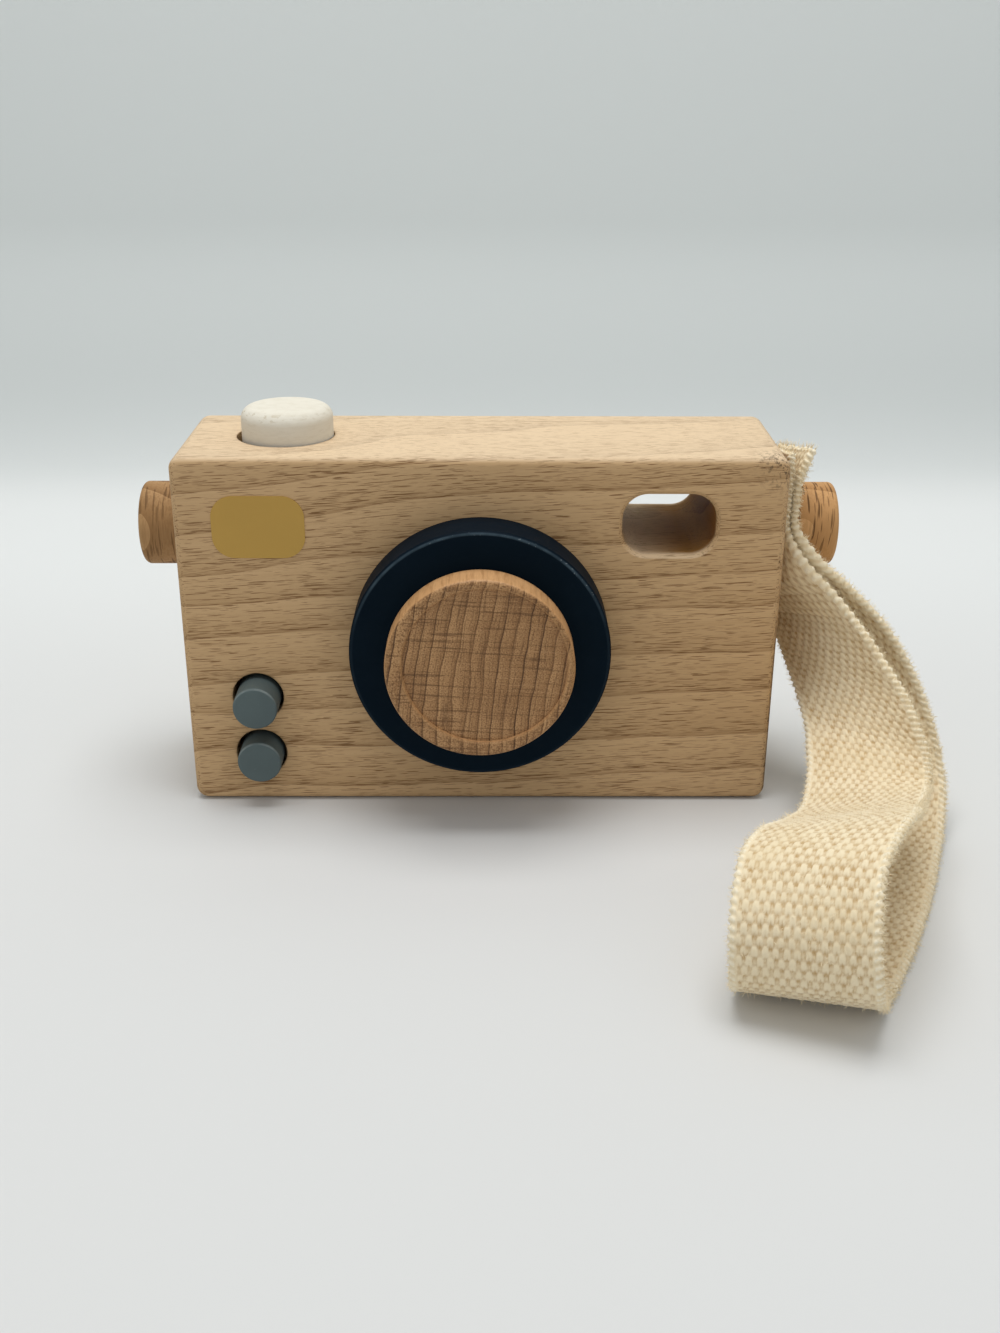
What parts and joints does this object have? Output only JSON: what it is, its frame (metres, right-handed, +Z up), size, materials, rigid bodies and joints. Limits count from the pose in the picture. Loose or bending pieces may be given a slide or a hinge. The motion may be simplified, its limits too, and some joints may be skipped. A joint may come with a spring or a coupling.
{
  "type": "wooden toy camera",
  "caption": "Wooden pretend camera: a beech block with a turning lens on a painted ring, sprung push buttons, a see-through viewfinder slot, side knobs and a webbing wrist strap.",
  "frame": {"origin": "centre of the block's flat bottom face", "axes": "+X to the viewer's right when facing the lens, +Y to the back of the block, +Z up"},
  "size_m": [0.1639, 0.1197, 0.0801],
  "materials": {
    "beech": "sanded, bare",
    "lens_beech": "turned end grain, oiled",
    "knob_beech": "sanded, oiled",
    "navy_paint": "matt painted wood",
    "grey_paint": "matt painted wood",
    "white_paint": "matt painted wood",
    "mustard_paint": "thin flat paint film",
    "dowel_wood": "plain dowel",
    "spring_steel": "drawn wire",
    "webbing": "undyed cotton weave"
  },
  "bodies": {
    "camera_body": {"front_block": "beech", "back_plate": "beech", "flash_print": "mustard_paint", "lens_ring": "navy_paint", "left_knob": "knob_beech", "left_knob_dowel": "dowel_wood", "right_knob": "knob_beech", "right_knob_dowel": "dowel_wood", "strap": "webbing", "shutter_spring": "spring_steel", "upper_button_spring": "spring_steel", "lower_button_spring": "spring_steel"},
    "turning_lens": {"lens": "lens_beech", "lens_axle": "dowel_wood", "axle_disc": "dowel_wood"},
    "shutter": {"shutter_button": "white_paint", "shutter_pin": "dowel_wood"},
    "upper_push": {"upper_button": "grey_paint", "upper_button_pin": "dowel_wood"},
    "lower_push": {"lower_button": "grey_paint", "lower_button_pin": "dowel_wood"}
  },
  "joints": [
    {"name": "lens_turn", "type": "hinge", "parent": "camera_body", "child": "turning_lens", "pos_m": [0, -0.0175, 0.0365], "axis": [0, -1, 0], "continuous": true},
    {"name": "shutter_press", "type": "slide", "parent": "camera_body", "child": "shutter", "axis": [0, 0, -1], "range_m": [0, 0.004], "stiffness_N_per_m": 480, "springref_m": -0.002, "deforming": ["shutter_spring"]},
    {"name": "upper_button_press", "type": "slide", "parent": "camera_body", "child": "upper_push", "axis": [0, 1, 0], "range_m": [0, 0.003], "stiffness_N_per_m": 600, "springref_m": -0.001, "deforming": ["upper_button_spring"]},
    {"name": "lower_button_press", "type": "slide", "parent": "camera_body", "child": "lower_push", "axis": [0, 1, 0], "range_m": [0, 0.003], "stiffness_N_per_m": 600, "springref_m": -0.001, "deforming": ["lower_button_spring"]}
  ]
}
